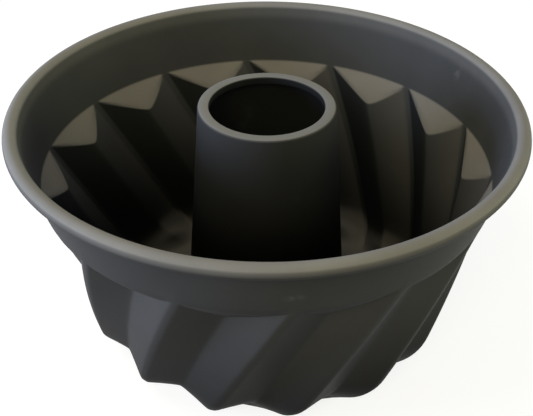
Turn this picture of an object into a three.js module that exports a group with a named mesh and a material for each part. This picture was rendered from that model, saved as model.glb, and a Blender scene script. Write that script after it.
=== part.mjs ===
// Kugelhopf mould. Millimetres, +Z up, origin on the axis in the plane that the base rests on.
// A sheet shell is pressed into a plain collar above twisted flutes, and its edge is rolled round
// a rim wire. A separate conical chimney grips the edge of the hole in the base.

import * as THREE from 'three';

const degrees = THREE.MathUtils.degToRad;

// Overall sizes
const rimDiameter = 220; // over the rolled rim
const mouldHeight = 113.2; // resting plane to the top of the rim
const sheet = 0.9; // thickness of the shell and of the chimney
const clearance = 0.3; // gap wherever two pieces meet

// Rolled rim
const rimRoll = 6.4; // outside diameter of the roll
const rimRollSweep = degrees(285); // how far the edge is rolled

// Wall and base
const collarDraft = degrees(13.45); // lean of the collar
const collarHeight = 28.4; // top of the rim to the lower edge of the collar
const baseRounding = 20; // inside radius between wall and base
const seatRise = 3.2; // how far the seat of the chimney stands above the base ring
const seatWidth = 6; // hole edge to the outer edge of the seat

// Flutes
const fluteCount = 14;
const fluteDraft = degrees(14); // lean of the crest lines
const fluteDepth = 7.6; // crest to valley under the collar
const fluteDepthAtBase = 4.8; // crest to valley at the base, before the flutes run out
const fluteLeadIn = degrees(27.3); // slope of the facet between collar and valley, from the crest line
const fluteHelix = degrees(23.8); // angle between a flute and the fall line of the wall
const fluteStart = degrees(18.3); // place of the first crest at the collar
const fluteRunOut = degrees(53); // turn of the base rounding where the flutes begin to run out
const crestWidth = 1.8;
const valleyWidth = 1.6;

// Chimney
const chimneyTopRadius = 28.9; // outside of the roll at its top
const chimneyFootRadius = 37.2; // outside, where it passes through the base
const chimneyRise = 0.7; // top of the chimney above the top of the rim
const chimneyRoll = 4.3; // outside diameter of the roll at its top
const chimneyRollSweep = degrees(275);
const footBead = 1.7; // radius of the bead that rests on the seat
const footFlare = 3.6; // how far the foot is flared under the seat

// Facets
const rollSteps = 8;
const wallSteps = 4;
const roundingSteps = 6;
const beadSteps = 4;
const turnSteps = 40;
const wireSides = 8;
const circleSteps = 48;

const quarterTurn = Math.PI / 2;
const fullTurn = Math.PI * 2;

// Points of a profile lie in a half-plane through the axis: x is the radius and y the height.
const at = (radius, height) => new THREE.Vector2(radius, height);

const move = (start, angle, length) =>
  at(start.x + length * Math.cos(angle), start.y + length * Math.sin(angle));

function arc(centre, radius, from, to, steps) {
  const points = [];
  for (let i = 0; i <= steps; i += 1) {
    points.push(move(centre, THREE.MathUtils.lerp(from, to, i / steps), radius));
  }
  return points;
}

// The rolled rim touches the inside face of the collar where the roll's normal is square to the wall.
const rimRollRadius = rimRoll / 2;
const rimCentre = at(rimDiameter / 2 - rimRollRadius, mouldHeight - rimRollRadius);
const rimRollStart = Math.PI - collarDraft;
const rimRollEnd = rimRollStart - rimRollSweep;
const collarTop = move(rimCentre, rimRollStart, rimRollRadius);

// Inside face of the collar, and of the wall at the crests down to the base rounding.
const collarDrop = collarTop.y + collarHeight - mouldHeight;
const collarFoot = at(collarTop.x - collarDrop * Math.tan(collarDraft), mouldHeight - collarHeight);
const roundingHeight = sheet + baseRounding;
const wallDrop = collarFoot.y - roundingHeight + baseRounding * Math.sin(fluteDraft);
const wallLength = wallDrop / Math.cos(fluteDraft);
const wallEndRadius = collarFoot.x - wallDrop * Math.tan(fluteDraft);
const roundingCentre = at(wallEndRadius - baseRounding * Math.cos(fluteDraft), roundingHeight);

const fluteLength = wallLength + baseRounding * (quarterTurn - fluteDraft);
const runOutLength = wallLength + baseRounding * (fluteRunOut - fluteDraft);

// A crest line runs down the wall and round into the base, measured from the collar's foot.
// Its lean is the angle by which the face has turned from upright.
const leanAt = (length) => fluteDraft + Math.max(0, length - wallLength) / baseRounding;

function crestAt(length) {
  if (length <= wallLength) {
    return move(collarFoot, -quarterTurn - fluteDraft, length);
  }
  return move(roundingCentre, -leanAt(length), baseRounding);
}

function fluteDepthAt(length) {
  const depth = THREE.MathUtils.lerp(fluteDepth, fluteDepthAtBase, length / fluteLength);
  const runOut = Math.max(0, length - runOutLength) / (fluteLength - runOutLength);
  return depth * Math.cos(runOut * quarterTurn) ** 2;
}

// The flutes cross the fall line at a steady angle, so they turn faster where the wall is narrower.
function turnAt(length) {
  const step = length / turnSteps;
  let turn = 0;
  for (let i = 0; i < turnSteps; i += 1) {
    turn -= (step * Math.tan(fluteHelix)) / crestAt((i + 0.5) * step).x;
  }
  return turn;
}

// How far down the wall the lead-in facet meets a flute, for a share of the depth:
// 0 on a crest and 1 in a valley. Crests are flush with the collar.
function leadInLength(share) {
  const taper = (fluteDepthAtBase - fluteDepth) / fluteLength;
  const meeting = (share * fluteDepth) / (Math.tan(fluteLeadIn) - share * taper);
  return Math.max(meeting, sheet);
}

// One row of the fluted face. Lift is 0 on the inside face and minus the sheet on the outside.
function fluteVertex(length, share, lift) {
  const inwards = Math.PI - leanAt(length);
  const place = move(crestAt(length), inwards, share * fluteDepthAt(length) + lift);
  return { place, turn: turnAt(length) };
}

function flutedFace(lift) {
  const rows = [];
  for (let i = 0; i <= wallSteps; i += 1) {
    rows.push((share) => {
      const length = THREE.MathUtils.lerp(leadInLength(share), wallLength, i / wallSteps);
      return fluteVertex(length, share, lift);
    });
  }
  for (let i = 1; i <= roundingSteps; i += 1) {
    const length = THREE.MathUtils.lerp(wallLength, fluteLength, i / roundingSteps);
    rows.push((share) => fluteVertex(length, share, lift));
  }
  return rows;
}

const plainRows = (points, turn) => points.map((place) => () => ({ place, turn }));

// Seat of the chimney: a ring raised above the base, with the hole in it.
const holeRadius = chimneyFootRadius + clearance;
const seatRadius = holeRadius + seatWidth;
const seatTop = seatRise + sheet;
const bendShift = sheet * Math.tan(Math.PI / 8); // inner corner of a half-right-angle bend in the sheet

function shellRows() {
  const baseTurn = turnAt(fluteLength);
  const rollOutside = arc(rimCentre, rimRollRadius, rimRollEnd, rimRollStart, rollSteps);
  const rollInside = arc(rimCentre, rimRollRadius - sheet, rimRollStart, rimRollEnd, rollSteps);
  const seatInside = [
    at(seatRadius + seatRise, sheet),
    at(seatRadius, seatTop),
    at(holeRadius, seatTop),
  ];
  const seatUnder = [
    at(holeRadius, seatRise),
    at(seatRadius - bendShift, seatRise),
    at(seatRadius + seatRise - bendShift, 0),
  ];
  const collarFootOutside = move(collarFoot, -collarDraft, sheet);
  return [
    ...plainRows([...rollOutside, collarFoot], 0),
    ...flutedFace(0),
    ...plainRows([...seatInside, ...seatUnder], baseTurn),
    ...flutedFace(-sheet).reverse(),
    ...plainRows([collarFootOutside, ...rollInside], 0),
  ];
}

// Columns of the shell: two on each crest, two in each valley and one midway on each facet.
function shellColumns() {
  const pitch = fullTurn / fluteCount;
  const crest = crestWidth / 2 / collarFoot.x;
  const valley = pitch / 2 - valleyWidth / 2 / collarFoot.x;
  const middle = (crest + valley) / 2;
  const crestRadius = crestAt(wallLength / 2).x;
  const valleyRadius = crestRadius - fluteDepthAt(wallLength / 2);
  const bothRadii = (2 * crestRadius * valleyRadius) / (crestRadius + valleyRadius);
  const middleRadius = bothRadii * Math.cos((valley - crest) / 2);
  const middleShare = (crestRadius - middleRadius) / (crestRadius - valleyRadius);
  const columns = [];
  for (let i = 0; i < fluteCount; i += 1) {
    const start = fluteStart + i * pitch;
    columns.push({ angle: start - crest, share: 0 });
    columns.push({ angle: start + crest, share: 0 });
    columns.push({ angle: start + middle, share: middleShare });
    columns.push({ angle: start + valley, share: 1 });
    columns.push({ angle: start + pitch - valley, share: 1 });
    columns.push({ angle: start + pitch - middle, share: middleShare });
  }
  return columns;
}

// A closed ring: every column is the same loop of rows, joined to the next column all the way round.
function ringGeometry(columns, rows) {
  const positions = [];
  for (const column of columns) {
    for (const row of rows) {
      const { place, turn } = row(column.share);
      const angle = column.angle + turn;
      positions.push(place.x * Math.cos(angle), place.x * Math.sin(angle), place.y);
    }
  }
  const triangles = [];
  for (let i = 0; i < columns.length; i += 1) {
    const here = i * rows.length;
    const next = ((i + 1) % columns.length) * rows.length;
    for (let j = 0; j < rows.length; j += 1) {
      const above = (j + 1) % rows.length;
      triangles.push(here + j, next + j, here + above);
      triangles.push(next + j, next + above, here + above);
    }
  }
  const geometry = new THREE.BufferGeometry();
  geometry.setAttribute('position', new THREE.Float32BufferAttribute(positions, 3));
  geometry.setIndex(triangles);
  geometry.computeVertexNormals();
  return geometry;
}

// The chimney is a tube whose foot is beaded above the seat and flared below it.
function chimneyGeometry() {
  const rollRadius = chimneyRoll / 2;
  const rollCentre = at(chimneyTopRadius - rollRadius, mouldHeight + chimneyRise - rollRadius);
  const neckRadius = chimneyFootRadius;
  const flareTop = seatRise - clearance;
  const flareFoot = flareTop - sheet;
  const flareRadius = neckRadius + footFlare;
  const bead = at(neckRadius, seatTop + clearance + footBead);
  const wallFoot = at(neckRadius, bead.y + footBead);

  // The wall runs from the bead to the roll and touches the roll on its outer side.
  const reach = rollCentre.clone().sub(wallFoot);
  const wallAngle = reach.angle() - Math.asin(rollRadius / reach.length());
  const rollStart = wallAngle - quarterTurn;
  const rollEnd = rollStart + chimneyRollSweep;
  const insideTop = move(rollCentre, rollStart, rollRadius - sheet);
  const insideAt = (height) => insideTop.x + (height - insideTop.y) / Math.tan(wallAngle);
  const groove = footBead - sheet;

  const profile = [
    at(neckRadius - sheet, flareFoot),
    at(flareRadius, flareFoot),
    at(flareRadius, flareTop),
    at(neckRadius, flareTop),
    ...arc(bead, footBead, -quarterTurn, quarterTurn, beadSteps),
    ...arc(rollCentre, rollRadius, rollStart, rollEnd, rollSteps),
    ...arc(rollCentre, rollRadius - sheet, rollEnd, rollStart, rollSteps),
    at(insideAt(bead.y + groove), bead.y + groove),
    ...arc(bead, groove, quarterTurn, -quarterTurn, beadSteps),
    at(neckRadius - sheet, bead.y - groove),
  ];
  profile.push(profile[0].clone());
  return new THREE.LatheGeometry(profile, circleSteps).rotateX(quarterTurn);
}

function rimWireGeometry(columnCount) {
  const wireRadius = rimRollRadius - sheet - clearance;
  return new THREE.TorusGeometry(rimCentre.x, wireRadius, wireSides, columnCount);
}

function piece(name, geometry, color, roughness, metalness) {
  const mesh = new THREE.Mesh(geometry, new THREE.MeshStandardMaterial({ color, roughness, metalness }));
  mesh.name = name;
  return mesh;
}

const columns = shellColumns();
const mould = new THREE.Group();

const shell = piece('fluted_shell', ringGeometry(columns, shellRows()), 0x494a48, 0.55, 0.15);
mould.add(shell);

const wire = piece('rim_wire', rimWireGeometry(columns.length), 0xa9abad, 0.35, 1);
wire.position.z = rimCentre.y;
mould.add(wire);

const chimney = piece('chimney', chimneyGeometry(), 0x494a48, 0.55, 0.15);
mould.add(chimney);

export default mould;
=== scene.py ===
import math

import bmesh
import bpy
from mathutils import Matrix, Vector


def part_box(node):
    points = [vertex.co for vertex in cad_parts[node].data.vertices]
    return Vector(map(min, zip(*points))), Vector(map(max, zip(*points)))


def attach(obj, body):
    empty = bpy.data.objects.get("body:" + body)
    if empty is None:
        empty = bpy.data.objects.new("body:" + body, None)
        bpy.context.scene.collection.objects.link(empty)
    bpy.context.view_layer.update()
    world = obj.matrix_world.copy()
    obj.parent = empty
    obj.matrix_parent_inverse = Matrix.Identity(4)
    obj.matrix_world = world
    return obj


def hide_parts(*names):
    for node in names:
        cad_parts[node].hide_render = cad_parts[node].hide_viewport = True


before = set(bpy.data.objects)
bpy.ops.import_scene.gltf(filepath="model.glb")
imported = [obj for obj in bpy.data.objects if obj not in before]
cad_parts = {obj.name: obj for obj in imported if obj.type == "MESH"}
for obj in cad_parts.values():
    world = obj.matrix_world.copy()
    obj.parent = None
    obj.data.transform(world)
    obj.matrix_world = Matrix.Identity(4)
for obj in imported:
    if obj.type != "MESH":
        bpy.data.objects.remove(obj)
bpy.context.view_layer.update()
mm = 0.001
fullTurn = 2 * math.pi
print("frame loaded with", ", ".join(sorted(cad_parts)))


# Small helpers for profiles: a point is (radius, height) in a half-plane through the axis

def lerp(a, b, share):
    return a + (b - a) * share


def step(start, angle, length):
    return (start[0] + length * math.cos(angle), start[1] + length * math.sin(angle))


def arcPoints(centre, radius, fromAngle, toAngle, steps):
    return [step(centre, lerp(fromAngle, toAngle, i / steps), radius) for i in range(steps + 1)]


def roundCorner(before, corner, after, radius, steps):
    # a bend of that radius instead of a sharp corner, tangent to both sides
    toBefore = math.atan2(before[1] - corner[1], before[0] - corner[0])
    toAfter = math.atan2(after[1] - corner[1], after[0] - corner[0])
    opening = math.remainder(toAfter - toBefore, fullTurn)
    middle = toBefore + opening / 2
    centre = step(corner, middle, radius / math.sin(abs(opening) / 2))
    bend = math.copysign(math.pi - abs(opening), opening)
    start = middle + math.pi + bend / 2
    return arcPoints(centre, radius, start, start - bend, steps)


def softMin(a, b, blend):
    overlap = max(blend - abs(a - b), 0) / blend
    return min(a, b) - overlap * overlap * blend / 4


def softMax(a, b, blend):
    return -softMin(-a, -b, blend)


# Modelling helpers: a row of vertices is extruded, then scaled, lifted and turned into its place

def deselectAll():
    bpy.ops.object.select_all(action="DESELECT")


def angleOf(vert):
    return math.atan2(vert.co.y, vert.co.x)


def selectVerts(piece, verts):
    bpy.ops.mesh.select_all(action="DESELECT")
    for vert in verts:
        vert.select_set(True)
    bmesh.from_edit_mesh(piece.data).select_flush(True)
    bmesh.update_edit_mesh(piece.data, loop_triangles=False, destructive=False)


def carry(was, now):
    # moves what is selected from one (radius, height, turn) to another
    scale = now[0] / was[0]
    bpy.ops.transform.resize(value=(scale, scale, 1), center_override=(0, 0, 0))
    bpy.ops.transform.translate(value=(0, 0, now[1] - was[1]))
    if now[2] != was[2]:
        # with no window the operator turns the other way
        bpy.ops.transform.rotate(value=was[2] - now[2], orient_axis="Z", center_override=(0, 0, 0))


def extrudeRow(piece, was, now):
    # was and now hold one place for every column class; a plain row has one place only
    bpy.ops.mesh.extrude_region_move()
    edited = bmesh.from_edit_mesh(piece.data)
    fresh = [vert for vert in edited.verts if vert.select]
    if len(set(was)) == 1 and len(set(now)) == 1:
        carry(was[0], now[0])
        return
    fresh.sort(key=angleOf)
    last = len(fresh) - 1
    for i, (old, new) in enumerate(zip(was, now)):
        selectVerts(piece, {fresh[i], fresh[last - i]})
        carry(old, new)
    selectVerts(piece, fresh)


def startCircle(name, segments, place):
    deselectAll()
    bpy.ops.mesh.primitive_circle_add(vertices=segments, radius=place[0], location=(0, 0, place[1]))
    piece = bpy.context.object
    piece.name = piece.data.name = name
    bpy.ops.object.transform_apply(location=True, rotation=True, scale=True)
    bpy.ops.object.mode_set(mode="EDIT")
    bpy.ops.mesh.select_mode(type="VERT")
    bpy.ops.mesh.select_all(action="SELECT")
    return piece


def applyModifier(piece, kind, **values):
    modifier = piece.modifiers.new(kind.lower(), kind)
    for key, value in values.items():
        setattr(modifier, key, value)
    bpy.ops.object.modifier_apply(modifier=modifier.name)


sheetFinish = {
    "mergeWithin": 0.002 * mm,
    "edgeBevel": 0.2 * mm,
    "bevelSegments": 2,
    "bevelFrom": math.radians(55),  # folds sharper than this are the sheet's cut edges
    "smoothUpTo": math.radians(40),
}


def finishSheet(piece, sheet, extra):
    # merges the seams, turns the worked face upwards, adds the sheet's thickness behind it
    # extra gives what a vertex needs beyond the sheet's thickness
    f = sheetFinish
    bpy.ops.mesh.select_all(action="SELECT")
    bpy.ops.mesh.remove_doubles(threshold=f["mergeWithin"])
    bpy.ops.mesh.normals_make_consistent(inside=False)
    bpy.ops.object.mode_set(mode="OBJECT")
    highest = max(piece.data.polygons, key=lambda face: face.center.z)
    if highest.normal.z <= 0:
        bpy.ops.object.mode_set(mode="EDIT")
        bpy.ops.mesh.select_all(action="SELECT")
        bpy.ops.mesh.flip_normals()
        bpy.ops.object.mode_set(mode="OBJECT")
    thickness = {vert.index: sheet + extra(vert.co) for vert in piece.data.vertices}
    thickest = max(thickness.values())
    group = piece.vertex_groups.new(name="thickness")
    for index, value in thickness.items():
        group.add([index], value / thickest, "REPLACE")
    applyModifier(piece, "SOLIDIFY", thickness=thickest, offset=-1, use_even_offset=True,
                  use_quality_normals=True, vertex_group=group.name)
    piece.vertex_groups.remove(piece.vertex_groups["thickness"])
    applyModifier(piece, "BEVEL", width=f["edgeBevel"], segments=f["bevelSegments"],
                  limit_method="ANGLE", angle_limit=f["bevelFrom"])
    bpy.ops.object.shade_smooth_by_angle(angle=f["smoothUpTo"])
    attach(piece, "root")


# Fluted shell: one flute is modelled from crest to crest and spun round the axis

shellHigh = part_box("fluted_shell")[1]
shell = {
    "sheet": 0.9 * mm,
    "rimRadius": shellHigh.x,
    "height": shellHigh.z,
    "rimRoll": 6.4 * mm,
    "rimRollSweep": math.radians(285),
    "collarHeight": 28.2 * mm,
    "collarDraft": math.radians(13.42),
    "fluteCount": 14,
    "fluteDraft": math.radians(13.77),
    "fluteDepth": 7.25 * mm,
    "fluteDepthAtBase": 5.2 * mm,
    "leadIn": math.radians(28.5),
    "outerFoldDrop": 2 * mm,  # the fold under the collar lies this much lower outside
    "helix": math.radians(24.3),
    "fluteStart": math.radians(19.2),
    "valleyShift": math.radians(0.6),  # the valleys start a little off the middle
    "valleyShiftLength": 60 * mm,
    "runOut": math.radians(53),
    "baseRounding": 20 * mm,
    "crestLand": 0.045,  # these three as a share of half a flute's width
    "crestSoftness": 0.045,
    "valleySoftness": 0.075,
    "facetBulge": 0.09,  # a flat facet lies this share of the depth inside a cone's curve
    "foldBlend": 0.3 * mm,  # softness of the folds at the collar's foot
    "crestLedge": 3 * mm,  # what is left of the lead-in rows at a crest
    "foldNear": 0.7 * mm,  # rows on both sides of a fold
    "foldClose": 0.22 * mm,
    "leadInParts": (0.06, 0.12, 0.2, 0.5),  # rows down a lead-in facet, as shares of it
    "wallStart": 4.5,  # the wall's own rows start this many foldNear under the facet
    "holeRadius": 37.5 * mm,
    "seatWidth": 6 * mm,
    "seatRise": 3.2 * mm,
    "seatBend": 1.5 * mm,
    "columnPlaces": (0, 0.03, 0.055, 0.08, 0.11, 0.15, 0.24,  # from a crest to a valley
                     0.42, 0.6, 0.77, 0.87, 0.93, 0.968, 1),
    "rollSteps": 26,
    "collarSteps": 4,
    "wallSteps": 13,
    "roundingSteps": 14,
    "seatSteps": 4,
    "turnSteps": 40,
}


class ShellForm:
    # the lines that the shell follows, worked out once from the settings
    def __init__(self, s):
        self.s = s
        rollRadius = s["rimRoll"] / 2
        self.rimCentre = (s["rimRadius"] - rollRadius, s["height"] - rollRadius)
        self.rollStart = math.pi - s["collarDraft"]
        self.collarTop = step(self.rimCentre, self.rollStart, rollRadius)
        footHeight = s["height"] - s["collarHeight"]
        drop = self.collarTop[1] - footHeight
        self.collarFoot = (self.collarTop[0] - drop * math.tan(s["collarDraft"]), footHeight)
        roundingHeight = s["sheet"] + s["baseRounding"]
        wallDrop = footHeight - roundingHeight + s["baseRounding"] * math.sin(s["fluteDraft"])
        self.wallLength = wallDrop / math.cos(s["fluteDraft"])
        wallEnd = self.collarFoot[0] - wallDrop * math.tan(s["fluteDraft"])
        roundingRadius = wallEnd - s["baseRounding"] * math.cos(s["fluteDraft"])
        self.roundingCentre = (roundingRadius, roundingHeight)
        perLean = s["baseRounding"]
        self.fluteLength = self.wallLength + perLean * (math.pi / 2 - s["fluteDraft"])
        self.runOutLength = self.wallLength + perLean * (s["runOut"] - s["fluteDraft"])

    def lean(self, length):
        if length < 0:
            return self.s["collarDraft"]
        return self.s["fluteDraft"] + max(0, length - self.wallLength) / self.s["baseRounding"]

    def crest(self, length):
        # down the wall from the collar's foot, and up the collar for a negative length
        if length <= self.wallLength:
            return step(self.collarFoot, -math.pi / 2 - self.lean(length), length)
        return step(self.roundingCentre, -self.lean(length), self.s["baseRounding"])

    def turn(self, length):
        # the flutes cross the fall line at a steady angle
        if length <= 0:
            return 0
        stride = length / self.s["turnSteps"]
        places = ((i + 0.5) * stride for i in range(self.s["turnSteps"]))
        return -math.tan(self.s["helix"]) * sum(stride / self.crest(place)[0] for place in places)

    def share(self, place):
        # 0 on a crest's land and 1 in a valley, with both folds softened
        soft, valleySoft = self.s["crestSoftness"], self.s["valleySoftness"]
        land = self.s["crestLand"]
        place = softMax(place - land, 0, soft) / (1 - land)
        slope = 1 / (1 - soft - valleySoft)
        if place < 0.5:
            straight = slope * (math.hypot(place, soft) - soft)
        else:
            straight = 1 - slope * (math.hypot(1 - place, valleySoft) - valleySoft)
        return straight + 4 * self.s["facetBulge"] * straight * (1 - straight)

    def fluteDepth(self, length):
        depth = lerp(self.s["fluteDepth"], self.s["fluteDepthAtBase"], length / self.fluteLength)
        runOut = max(0, length - self.runOutLength) / (self.fluteLength - self.runOutLength)
        return depth * math.cos(runOut * math.pi / 2) ** 2

    def leadInLength(self, share):
        taper = (self.s["fluteDepthAtBase"] - self.s["fluteDepth"]) / self.fluteLength
        meeting = share * self.s["fluteDepth"] / (math.tan(self.s["leadIn"]) - share * taper)
        return math.hypot(meeting, self.s["crestLedge"])

    def face(self, length, place):
        # place on the inside face: the lead-in facet or the flute, whichever is less deep
        blend = self.s["foldBlend"]
        ramp = softMax(0, length * math.tan(self.s["leadIn"]), blend)
        depth = softMin(self.share(place) * self.fluteDepth(max(length, 0)), ramp, blend)
        radius, height = step(self.crest(length), math.pi - self.lean(length), depth)
        fade = max(0, 1 - max(0, length) / self.s["valleyShiftLength"])
        return (radius, height, self.turn(length) + place * self.s["valleyShift"] * fade)

    def outerExtra(self, place):
        # what the sheet needs behind a vertex for the lower fold outside
        across = self.collarFoot[0] - math.hypot(place.x, place.y)
        down = self.collarFoot[1] - place.z
        lean, drop = self.s["fluteDraft"], self.s["outerFoldDrop"]
        slope = math.tan(self.s["leadIn"])
        length = down * math.cos(lean) + across * math.sin(lean)
        depth = across * math.cos(lean) - down * math.sin(lean)
        if not 0 < length < self.s["fluteDepth"] / slope + 2 * drop:
            return 0
        excess = depth - max(0, length - drop) * slope
        return min(max(excess, 0), drop * slope) * math.cos(self.s["leadIn"])

    def fluteLengths(self, share):
        # where the rows cross one column, close together at the two folds, inside and outside
        near, close = self.s["foldNear"], self.s["foldClose"]
        meeting = self.leadInLength(share)
        lengths = [-near, -close, close, near]
        lengths += [lerp(near, meeting - near, part) for part in self.s["leadInParts"]]
        offsets = (-near, -close, close, near, 2 * near, 3 * near)
        lengths += [meeting + offset for offset in offsets]
        start, steps = meeting + self.s["wallStart"] * near, self.s["wallSteps"]
        lengths += [lerp(start, self.wallLength, i / steps) for i in range(steps + 1)]
        steps = self.s["roundingSteps"]
        lengths += [lerp(self.wallLength, self.fluteLength, i / steps) for i in range(1, steps + 1)]
        return lengths

    def rows(self):
        s = self.s
        rollRadius = s["rimRoll"] / 2
        roll = arcPoints(self.rimCentre, rollRadius, self.rollStart - s["rimRollSweep"],
                         self.rollStart, s["rollSteps"])
        collar = [(lerp(self.collarTop[0], self.collarFoot[0], i / s["collarSteps"]),
                   lerp(self.collarTop[1], self.collarFoot[1], i / s["collarSteps"]))
                  for i in range(1, s["collarSteps"])]
        places = s["columnPlaces"]
        lengths = [self.fluteLengths(self.share(place)) for place in places]
        fluted = [[self.face(lengths[column][row], place) for column, place in enumerate(places)]
                  for row in range(len(lengths[0]))]
        seatTop = s["seatRise"] + s["sheet"]
        seatEdge = s["holeRadius"] + s["seatWidth"]
        ringEdge, seatFoot = self.roundingCentre, (seatEdge + s["seatRise"], s["sheet"])
        seatCorner, holeEdge = (seatEdge, seatTop), (s["holeRadius"], seatTop)
        base = [(lerp(ringEdge[0], seatFoot[0], 0.5), s["sheet"])]
        bend, steps = s["seatBend"], s["seatSteps"]
        base += roundCorner((ringEdge[0], s["sheet"]), seatFoot, seatCorner, bend, steps)
        base += roundCorner(seatFoot, seatCorner, holeEdge, bend, steps)
        base += [holeEdge]
        columns = len(places)
        baseTurn = self.turn(self.fluteLength)
        plain = [[(*point, 0)] * columns for point in roll + collar]
        return plain + fluted + [[(*point, baseTurn)] * columns for point in base]


def makeShell():
    form = ShellForm(shell)
    rows = form.rows()
    places = shell["columnPlaces"]
    columns = 2 * (len(places) - 1)
    pitch = fullTurn / shell["fluteCount"]
    piece = startCircle("coated_shell", shell["fluteCount"] * columns, rows[0][0])
    edited = bmesh.from_edit_mesh(piece.data)
    beyond = pitch * 1.001  # a hair past the last column, which stays
    selectVerts(piece, [vert for vert in edited.verts if angleOf(vert) % fullTurn > beyond])
    bpy.ops.mesh.delete(type="VERT")  # one flute's arc is left

    edited = bmesh.from_edit_mesh(piece.data)
    arc = sorted(edited.verts, key=angleOf)
    for i, place in enumerate(places):
        shift = (place / 2 - i / columns) * pitch
        for vert, turn in ((arc[i], shift), (arc[columns - i], -shift)):
            selectVerts(piece, [vert])
            bpy.ops.transform.rotate(value=-turn, orient_axis="Z", center_override=(0, 0, 0))
    selectVerts(piece, arc)
    for was, now in zip(rows, rows[1:]):
        extrudeRow(piece, was, now)

    bpy.ops.mesh.select_all(action="SELECT")
    bpy.ops.transform.rotate(value=-shell["fluteStart"], orient_axis="Z", center_override=(0, 0, 0))
    bpy.ops.mesh.spin(steps=shell["fluteCount"], angle=fullTurn, dupli=True, center=(0, 0, 0),
                      axis=(0, 0, 1))
    finishSheet(piece, shell["sheet"], form.outerExtra)
    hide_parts("fluted_shell")
    return piece


# Chimney: a tube whose top is folded inwards to a flat lip
# and whose foot is beaded over the edge of the hole

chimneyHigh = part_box("chimney")[1]
chimney = {
    "sheet": shell["sheet"],
    "top": chimneyHigh.z,
    "clearance": 0.3 * mm,
    "topRadius": 29.4 * mm,
    "footRadius": 37.2 * mm,
    "lipRadius": 24.6 * mm,
    "lipDepth": 3.6 * mm,
    "lipFall": 0.12 * mm,  # the lip is a little crowned
    "crownPlace": 0.45,  # where it is highest, as a share of the lip's width
    "lipSheet": 0.45 * mm,  # the fold draws the sheet thinner
    "outerBend": 1.1 * mm,
    "innerBend": 0.55 * mm,
    "tuck": (2.4 * mm, 0.4 * mm),  # the lip's edge turns back outwards and down by this
    "tuckBend": 1.1 * mm,
    "bead": 1.7 * mm,
    "beadSweep": (math.radians(-70), math.radians(45)),
    "beadBend": 0.6 * mm,
    "flare": 3.6 * mm,
    "flareBend": 0.9 * mm,
    "segments": 160,
    "steps": {"flare": 4, "bead": 9, "foot": 3, "wall": 8, "outer": 8, "inner": 6, "tuck": 6},
}


def chimneyProfile():
    c, steps = chimney, chimney["steps"]
    neck = c["footRadius"]
    flareTop = shell["seatRise"] - c["clearance"]
    beadHeight = shell["seatRise"] + shell["sheet"] + c["clearance"] + c["bead"]
    wallFoot = (neck, beadHeight + c["bead"])
    wallTop = (c["topRadius"], c["top"] - c["outerBend"])
    flareTip, corner = (neck + c["flare"], flareTop), (neck, flareTop)
    beadFoot = (neck, beadHeight - c["bead"])
    beadOut = (neck + c["bead"], beadHeight)
    crown = (lerp(c["topRadius"], c["lipRadius"], c["crownPlace"]), c["top"])
    outerCorner = (c["topRadius"], c["top"] - c["lipFall"])
    innerCorner = (c["lipRadius"], c["top"] - c["lipFall"])
    lipFoot = (c["lipRadius"], c["top"] - c["lipDepth"])
    tuckedEdge = (lipFoot[0] + c["tuck"][0], lipFoot[1] - c["tuck"][1])
    points = [flareTip]
    points += roundCorner(flareTip, corner, beadFoot, c["flareBend"], steps["flare"])
    points += arcPoints((neck, beadHeight), c["bead"], *c["beadSweep"], steps["bead"])
    points += roundCorner(beadOut, wallFoot, wallTop, c["beadBend"], steps["foot"])
    points += [(lerp(wallFoot[0], wallTop[0], i / steps["wall"]),
                lerp(wallFoot[1], wallTop[1], i / steps["wall"])) for i in range(1, steps["wall"])]
    points += roundCorner(wallFoot, outerCorner, crown, c["outerBend"], steps["outer"])
    points += [crown]
    points += roundCorner(crown, innerCorner, lipFoot, c["innerBend"], steps["inner"])
    points += roundCorner(innerCorner, lipFoot, tuckedEdge, c["tuckBend"], steps["tuck"])
    points += [tuckedEdge]
    return points


def lipThinning(place):
    # negative over the lip, down to the thinner sheet at its inner bend
    c = chimney
    start, end = c["topRadius"] - c["outerBend"], c["lipRadius"] + c["innerBend"]
    share = (start - math.hypot(place.x, place.y)) / (start - end)
    return (c["lipSheet"] - c["sheet"]) * min(max(share, 0), 1)


def makeChimney():
    rows = [[(*point, 0)] for point in chimneyProfile()]
    piece = startCircle("coated_chimney", chimney["segments"], rows[0][0])
    for was, now in zip(rows, rows[1:]):
        extrudeRow(piece, was, now)
    finishSheet(piece, chimney["sheet"], lipThinning)
    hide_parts("chimney")
    return piece


# Shader maths: a socket that Python's operators work on

class Socket:
    def __init__(self, tree, out=None):
        self.tree = tree
        self.out = out

    def node(self, kind, settings, inputs, output=0):
        made = self.tree.nodes.new("ShaderNode" + kind)
        for key, value in settings.items():
            setattr(made, key, value)
        for key, value in inputs.items():
            if isinstance(value, Socket):
                self.tree.links.new(value.out, made.inputs[key])
            else:
                made.inputs[key].default_value = value
        return Socket(self.tree, made.outputs[output])

    def maths(self, operation, first, second):
        return self.node("Math", {"operation": operation}, {0: first, 1: second})

    def __add__(self, other):
        return self.maths("ADD", self, other)

    def __sub__(self, other):
        return self.maths("SUBTRACT", self, other)

    def __mul__(self, other):
        return self.maths("MULTIPLY", self, other)

    def __rsub__(self, other):
        return self.maths("SUBTRACT", other, self)

    __radd__ = __add__
    __rmul__ = __mul__

    def ramp(self, low, high):
        # 0 below low, 1 above high and smooth between
        return self.node("MapRange", {"interpolation_type": "SMOOTHSTEP"},
                         {"Value": self, "From Min": low, "From Max": high})

    def mix(self, first, second):
        # a colour between two, by this value
        settings = {"data_type": "RGBA", "clamp_factor": False}
        return self.node("Mix", settings, {0: self, 6: first, 7: second}, 2)


def newMaterial(name):
    material = bpy.data.materials.new(name)
    material.use_nodes = True
    tree = material.node_tree
    return material, tree.nodes["Principled BSDF"], Socket(tree)


def grey(level):
    return (level, level, level, 1)


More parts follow.
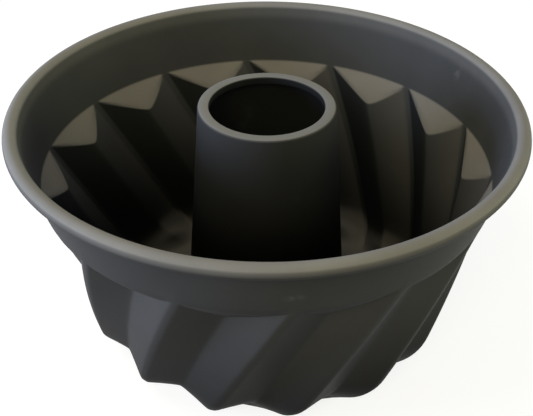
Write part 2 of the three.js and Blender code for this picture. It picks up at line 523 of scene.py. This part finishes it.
# The coating: a slope is the upward part of a face's normal, 1 for a level face, -1 from below
noiseMiddle = 0.5
# Painted shade in the coating: its lightness follows height and slope as shade would, darkest deep
# inside
shellCoat = {
    "deep": (0.0038, 0.0047, 0.0054, 1),  # painted shade: steep faces inside, darker from the rim down to the base
    "high": (0.0525, 0.0552, 0.0565, 1),
    "heights": (22 * mm, 98 * mm),
    "backDeep": grey(0.004),  # the same painted shade for the outside
    "backHigh": (0.059, 0.060, 0.060, 1),
    "backHeights": (-18 * mm, 85 * mm),
    "dustAndTopLight": (0.206, 0.194, 0.173, 1),  # faces that look up get lighter: a dusty film and painted top light
    "rimDustAndTopLight": (0.195, 0.192, 0.182, 1),
    "dustAndTopLightSlopes": (0.3, 0.68),
    "rimPaintedLight": (0.24, 0.52),  # painted highlight and bounce light on the rim bead, towards the axis and away from it
    "rimHeights": (105 * mm, 109 * mm),
}
# The tube has its own copy of the coating, with painted shade set apart from the shell's
chimneyCoat = {
    "deep": grey(0.006),  # painted shade inside the tube, darker lower down
    "high": (0.024, 0.026, 0.027, 1),
    "heights": (40 * mm, 105 * mm),
    "backDeep": grey(0.001),  # painted shade on the outside of the tube, darker lower down
    "backHigh": (0.0355, 0.037, 0.0385, 1),
    "backHeights": (47 * mm, 120 * mm),
    # painted top light and a dusty film on the folded lip's flat top
    "dustAndTopLight": (0.212, 0.212, 0.205, 1),
    "rimDustAndTopLight": (0.212, 0.212, 0.205, 1),
    "dustAndTopLightSlopes": (0.68, 0.98),
    "rimPaintedLight": (0, 0),
    "rimHeights": (105 * mm, 109 * mm),
}
coating = {
    "roughness": 0.55,
    "glossMottle": (0.1, 0.12, 0.15),  # how far patches, grain and wear change the roughness
    "specular": 0.05,
    "patches": {"Scale": 14, "Detail": 4},  # a scale counts features per metre
    "smudges": {"Scale": 38, "Detail": 6, "Roughness": 0.62},
    "streaks": {"Scale": 260, "Detail": 4},
    "grain": {"Scale": 900, "Detail": 3},
    "grainDepth": 0.03 * mm,
    "grainStrength": 0.25,
    "mottle": (0.4, 0.32),  # how far patches and smudges change the lightness
    "sideBlend": 2 * mm,
    "shaded": 0.4,  # painted shade: the lightness left where a steep face looks down
    "faceSlopes": (0.05, 0.25),
    "backSlopes": (-0.45, -0.05),
    "evenDustAndTopLight": 0.25,  # the share of the dusty film and painted top light that grows evenly with the slope
    "lowDustAndTopLight": 0.28,  # painted shade: what is left of the dusty film and painted top light at the lower of these heights
    "dustAndTopLightHeights": (10 * mm, 80 * mm),
    "baseDustAndTopLight": 0.25,  # more dusty film and painted top light on the level base
    "baseSlopes": (0.65, 0.95),
    "baseHeights": (6 * mm, 25 * mm),
    "mostDustAndTopLight": 1.25,
    # the rim's painted light reaches from faces that look down to faces that look up
    "rimPaintedLightSlopes": (-0.6, 0.4),
    "scuff": grey(0.12),
    "smudgeWear": 0.12,
    "smudgeLevels": (0.62, 0.8),
    "streakWear": 0.6,
    "streakLevels": (0.38, 0.62),
}
scuffs = {
    "inner": {"at": (0.0892, 0.0492, 0.1035), "outside": False,
              "reach": (3.2 * mm, 3.2 * mm, 6.5 * mm)},
    "outer": {"at": (0.0101, -0.0995, 0.0920), "outside": True,
              "reach": (5.5 * mm, 3 * mm, 2.6 * mm)},
}


def makeCoating(name, coat):
    c = coating
    material, surface, nodes = newMaterial(name)
    place = nodes.node("TexCoord", {}, {}, "Object")
    normal = nodes.node("TexCoord", {}, {}, "Normal")
    height = nodes.node("SeparateXYZ", {}, {0: place}, "Z")
    slope = nodes.node("SeparateXYZ", {}, {0: normal}, "Z")
    level = nodes.node("VectorMath", {"operation": "MULTIPLY"}, {0: place, 1: (1, 1, 0)})
    outward = nodes.node("VectorMath", {"operation": "DOT_PRODUCT"}, {0: level, 1: normal}, "Value")
    patches, smudges, streaks, grain = (
        nodes.node("TexNoise", {}, {"Vector": place, **c[noise]})
        for noise in ("patches", "smudges", "streaks", "grain"))

    # painted shade: steep faces get lighter with the height and darker where they look down, inside
    # and outside
    shaded = c["shaded"]
    light = height.ramp(*coat["heights"]) * (slope.ramp(*c["faceSlopes"]) * (1 - shaded) + shaded)
    face = light.mix(coat["deep"], coat["high"])
    light = height.ramp(*coat["backHeights"])
    light = light * (slope.ramp(*c["backSlopes"]) * (1 - shaded) + shaded)
    back = light.mix(coat["backDeep"], coat["backHigh"])
    outside = outward.ramp(-c["sideBlend"], c["sideBlend"])
    colour = outside.mix(face, back)

    # a dusty film with painted top light on faces that look up, fading lower down as painted shade,
    # and painted highlight and bounce light on the rim
    evenDustAndTopLight, lowDustAndTopLight = c["evenDustAndTopLight"], c["lowDustAndTopLight"]
    dustAndTopLight = slope.ramp(*coat["dustAndTopLightSlopes"]) * (1 - evenDustAndTopLight) + slope.ramp(0, 1) * evenDustAndTopLight
    dustAndTopLight = dustAndTopLight * (height.ramp(*c["dustAndTopLightHeights"]) * (1 - lowDustAndTopLight) + lowDustAndTopLight)
    low = 1 - height.ramp(*c["baseHeights"])
    dustAndTopLight = dustAndTopLight + slope.ramp(*c["baseSlopes"]) * low * c["baseDustAndTopLight"]
    # painted highlight and bounce light near the rim, stronger on the outside
    nearRim = height.ramp(*coat["rimHeights"])
    innerRimLight, outerRimLight = coat["rimPaintedLight"]
    rimPaintedLightShare = outside * (outerRimLight - innerRimLight) + innerRimLight
    rimPaintedLightShare = nearRim * slope.ramp(*c["rimPaintedLightSlopes"]) * rimPaintedLightShare
    dustAndTopLightColour = nearRim.mix(coat["dustAndTopLight"], coat["rimDustAndTopLight"])
    colour = nodes.maths("MINIMUM", dustAndTopLight + rimPaintedLightShare, c["mostDustAndTopLight"]).mix(colour, dustAndTopLightColour)

    # rubbed places, and patches of uneven lightness and gloss
    worn = smudges.ramp(*c["smudgeLevels"]) * c["smudgeWear"]
    streaked = streaks.ramp(*c["streakLevels"])
    for scuff in scuffs.values():
        away = nodes.node("VectorMath", {"operation": "SUBTRACT"}, {0: place, 1: scuff["at"]})
        away = nodes.node("VectorMath", {"operation": "DIVIDE"}, {0: away, 1: scuff["reach"]})
        near = nodes.node("VectorMath", {"operation": "LENGTH"}, {0: away}, "Value")
        side = outside if scuff["outside"] else 1 - outside
        worn = worn + (1 - near.ramp(0, 1)) * side * streaked * c["streakWear"]
    colour = worn.mix(colour, c["scuff"])
    byPatch, bySmudge = c["mottle"]
    tone = (patches - noiseMiddle) * byPatch + (smudges - noiseMiddle) * bySmudge + 1
    colour = nodes.node("VectorMath", {"operation": "SCALE"}, {0: colour, "Scale": tone})
    links = material.node_tree.links
    links.new(colour.out, surface.inputs["Base Color"])
    byPatch, byGrain, byWear = c["glossMottle"]
    roughness = c["roughness"] + (patches - noiseMiddle) * byPatch
    roughness = roughness + (grain - noiseMiddle) * byGrain + worn * byWear
    links.new(roughness.out, surface.inputs["Roughness"])
    bump = nodes.node("Bump", {}, {"Height": grain, "Strength": c["grainStrength"],
                                   "Distance": c["grainDepth"]})
    links.new(bump.out, surface.inputs["Normal"])
    surface.inputs["Specular IOR Level"].default_value = c["specular"]
    return material


wire = {
    "colour": (0.42, 0.43, 0.44, 1),
    "dull": (0.27, 0.27, 0.26, 1),
    "stains": {"Scale": 120, "Detail": 5},
    "stainLevels": (0.35, 0.7),
    "roughness": 0.36,
    "glossMottle": 0.2,
}


def makeWireSteel():
    material, surface, nodes = newMaterial("drawn_wire")
    place = nodes.node("TexCoord", {}, {}, "Object")
    stain = nodes.node("TexNoise", {}, {"Vector": place, **wire["stains"]})
    colour = stain.ramp(*wire["stainLevels"]).mix(wire["colour"], wire["dull"])
    roughness = wire["roughness"] + (stain - noiseMiddle) * wire["glossMottle"]
    links = material.node_tree.links
    links.new(colour.out, surface.inputs["Base Color"])
    links.new(roughness.out, surface.inputs["Roughness"])
    surface.inputs["Metallic"].default_value = 1
    return material


def setMaterial(piece, material):
    piece.data.materials.clear()
    piece.data.materials.append(material)


# Floor, lamps and camera

floorLook = {"size": 40, "level": -0.1 * mm, "colour": grey(0.3), "glow": 0.83}


def seenRays(nodes):
    # 1 for what is looked at, also in gloss or through glass, and 0 for what only lights
    seen = nodes.node("LightPath", {}, {}, "Is Camera Ray")
    for ray in ("Is Glossy Ray", "Is Transmission Ray"):
        seen = nodes.maths("MAXIMUM", seen, nodes.node("LightPath", {}, {}, ray))
    return seen


def makeFloor():
    deselectAll()
    bpy.ops.mesh.primitive_grid_add(x_subdivisions=2, y_subdivisions=2, size=floorLook["size"],
                                    location=(0, 0, floorLook["level"]))
    floor = bpy.context.object
    floor.name = "floor"
    material, surface, nodes = newMaterial("pale_floor")
    tree = material.node_tree
    # a white floor to look at, that doesn't light the object
    glow = seenRays(nodes).mix(grey(0), grey(1))
    tree.links.new(glow.out, surface.inputs["Emission Color"])
    surface.inputs["Emission Strength"].default_value = floorLook["glow"]
    surface.inputs["Base Color"].default_value = floorLook["colour"]
    surface.inputs["Roughness"].default_value = 1
    surface.inputs["Specular IOR Level"].default_value = 0
    setMaterial(floor, material)


# A lamp comes from a turn and a rise in degrees, the turn counted from the camera's side
# Its light is what it gives a face that looks at it, for red, green and blue
lamps = {
    "window": {"from": (280, 9.5), "size": 0.6, "light": (0.66, 0.77, 1.10)},
    "skylight": {"from": (280, 60), "size": 0.7, "light": (0.20, 0.187, 0.15)},
    "front": {"from": (350, 40), "size": 0.7, "light": (0.275, 0.24, 0.115)},
    "side": {"from": (95, 8), "size": 0.5, "light": (0.28, 0.285, 0.165)},
}
lampDistance = 1.5
lampAim = Vector((0, 0, 0.06))
ambient = (0.345, 0.348, 0.345, 1)
backdrop = grey(0.95)


def makeLamps():
    for name, lamp in lamps.items():
        turn, rise = (math.radians(angle) for angle in lamp["from"])
        way = Vector((math.sin(turn) * math.cos(rise), -math.cos(turn) * math.cos(rise),
                      math.sin(rise)))
        strength = max(lamp["light"])
        deselectAll()
        bpy.ops.object.light_add(type="AREA", location=lampAim + way * lampDistance)
        light = bpy.context.object
        light.name = name
        light.rotation_euler = (-way).to_track_quat("-Z", "Y").to_euler()
        light.visible_camera = False
        light.data.shape = "DISK"
        light.data.size = lamp["size"]
        light.data.energy = strength * (math.pi * lampDistance) ** 2
        light.data.color = [part / strength for part in lamp["light"]]
    world = bpy.data.worlds.new("studio")
    bpy.context.scene.world = world
    world.use_nodes = True
    background = world.node_tree.nodes["Background"]
    shown = seenRays(Socket(world.node_tree)).mix(ambient, backdrop)
    world.node_tree.links.new(shown.out, background.inputs["Color"])
    background.inputs["Strength"].default_value = 1


camera = {"place": (0, -0.36766, 0.32195), "pitch": 35.443, "roll": 0.207, "lens": 67.27,
          "clipStart": 0.01}


def makeCamera():
    deselectAll()
    bpy.ops.object.camera_add()
    eye = bpy.context.object
    turn = Matrix.Rotation(math.radians(90 - camera["pitch"]), 4, "X")
    roll = Matrix.Rotation(math.radians(camera["roll"]), 4, "Z")
    eye.matrix_world = Matrix.Translation(camera["place"]) @ turn @ roll
    eye.data.lens = camera["lens"]
    eye.data.clip_start = camera["clipStart"]
    bpy.context.scene.camera = eye


makeCamera()
print("camera set")
coatedShell = makeShell()
print("shell modelled:", len(coatedShell.data.polygons), "faces")
coatedChimney = makeChimney()
print("chimney modelled:", len(coatedChimney.data.polygons), "faces")
setMaterial(coatedShell, makeCoating("shell_coating", shellCoat))
setMaterial(coatedChimney, makeCoating("chimney_coating", chimneyCoat))
setMaterial(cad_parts["rim_wire"], makeWireSteel())
print("finishes set")
makeFloor()
makeLamps()
bpy.context.scene.view_settings.view_transform = "Standard"
print("floor and lamps set")
